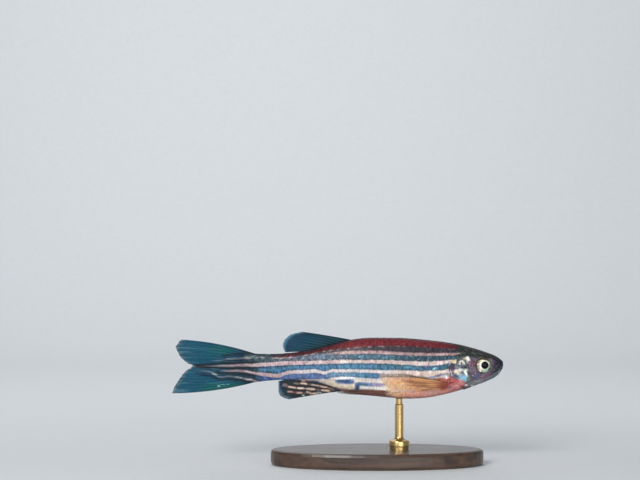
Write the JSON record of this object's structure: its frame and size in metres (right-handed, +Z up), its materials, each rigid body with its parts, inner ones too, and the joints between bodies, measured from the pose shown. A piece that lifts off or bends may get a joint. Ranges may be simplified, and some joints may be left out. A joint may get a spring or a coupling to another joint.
{
  "type": "zebra danio",
  "caption": "A life-size model of a small striped freshwater fish swimming level, on an oval display stand with a thin rod.",
  "frame": {"origin": "on the table under the middle of the fish's length, centred across its width", "axes": "+X towards the snout, +Y to the fish's left side, +Z up"},
  "size_m": [0.042, 0.013, 0.0169],
  "materials": {
    "cheek": "satin",
    "gill_cover": "glossy",
    "flank": "satin",
    "eye": "glossy",
    "fin": "satin",
    "striped_fin": "satin",
    "base": "satin",
    "rod": "polished"
  },
  "bodies": {
    "root": {"head": "cheek", "lower_jaw": "cheek", "rostral_barbel_left": "cheek", "rostral_barbel_right": "cheek", "maxillary_barbel_left": "cheek", "maxillary_barbel_right": "cheek", "gill_cover_left": "gill_cover", "gill_cover_right": "gill_cover", "eye_left": "eye", "eye_right": "eye", "trunk": "flank", "tail_stalk": "flank", "dorsal_fin": "fin", "pectoral_fin_left": "fin", "pectoral_fin_right": "fin", "pelvic_fin_left": "fin", "pelvic_fin_right": "fin", "anal_fin": "striped_fin", "tail_fin": "striped_fin", "stand_base": "base", "stand_rod": "rod"}
  },
  "joints": []
}
